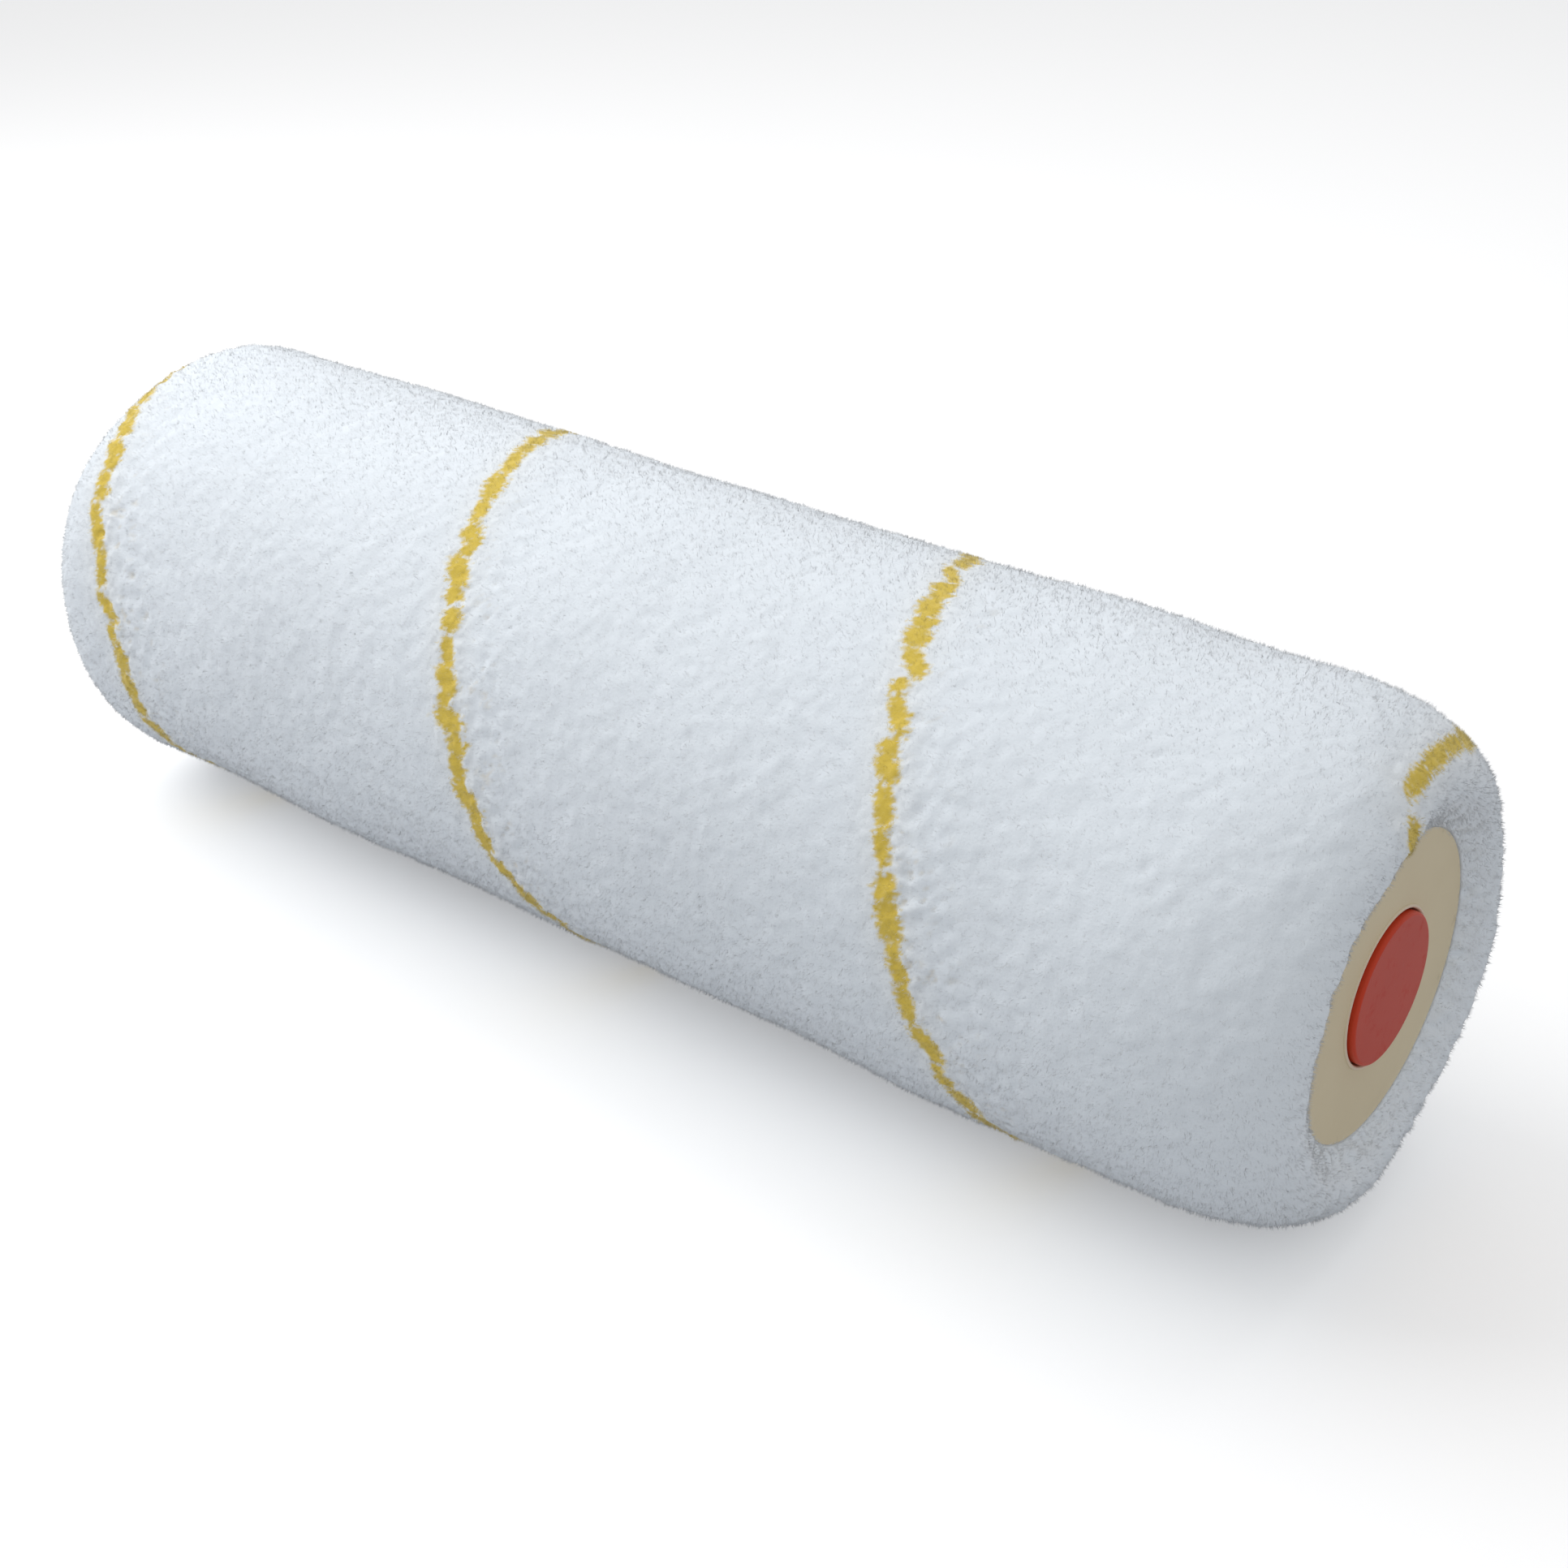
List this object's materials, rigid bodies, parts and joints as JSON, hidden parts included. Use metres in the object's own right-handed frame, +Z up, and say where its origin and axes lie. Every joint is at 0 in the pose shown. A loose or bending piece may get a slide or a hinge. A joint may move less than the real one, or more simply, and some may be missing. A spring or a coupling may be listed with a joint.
{
  "type": "paint roller sleeve",
  "caption": "Plush paint roller sleeve, closed at one end, spinning on a captive axle tube that slides over a wire frame.",
  "frame": {"origin": "centre of the sleeve, on its axis, halfway between the two end caps", "axes": "+X along the axis towards the closed end with the red plug, +Z up; the frame's wire enters from -X"},
  "size_m": [0.2566, 0.082, 0.082],
  "materials": {
    "white_plush": "soft white polyamide nap with one helical row of gold marker yarn",
    "base_cloth": "woven base cloth, matt",
    "grey_core_plastic": "matt extruded plastic",
    "cream_plastic": "matt moulded plastic, cream",
    "white_bearing_plastic": "smooth low friction plastic, off white",
    "red_plastic": "satin moulded plastic, brick red",
    "spring_steel": "plain spring steel"
  },
  "bodies": {
    "axle_cartridge": {"axle_tube": "grey_core_plastic", "red_end_plug": "red_plastic", "wire_entry_collar": "red_plastic", "wire_clip": "spring_steel", "closed_end_washer": "white_bearing_plastic", "open_end_washer": "white_bearing_plastic"},
    "spinning_sleeve": {"plush_pile": "white_plush", "backing_fabric": "base_cloth", "core_tube": "grey_core_plastic", "closed_end_cap": "cream_plastic", "open_end_cap": "cream_plastic", "closed_end_bush": "white_bearing_plastic", "open_end_bush": "white_bearing_plastic"}
  },
  "joints": [
    {"name": "sleeve_spin", "type": "hinge", "parent": "axle_cartridge", "child": "spinning_sleeve", "pos_m": [0, 0, 0], "axis": [1, 0, 0], "continuous": true}
  ]
}
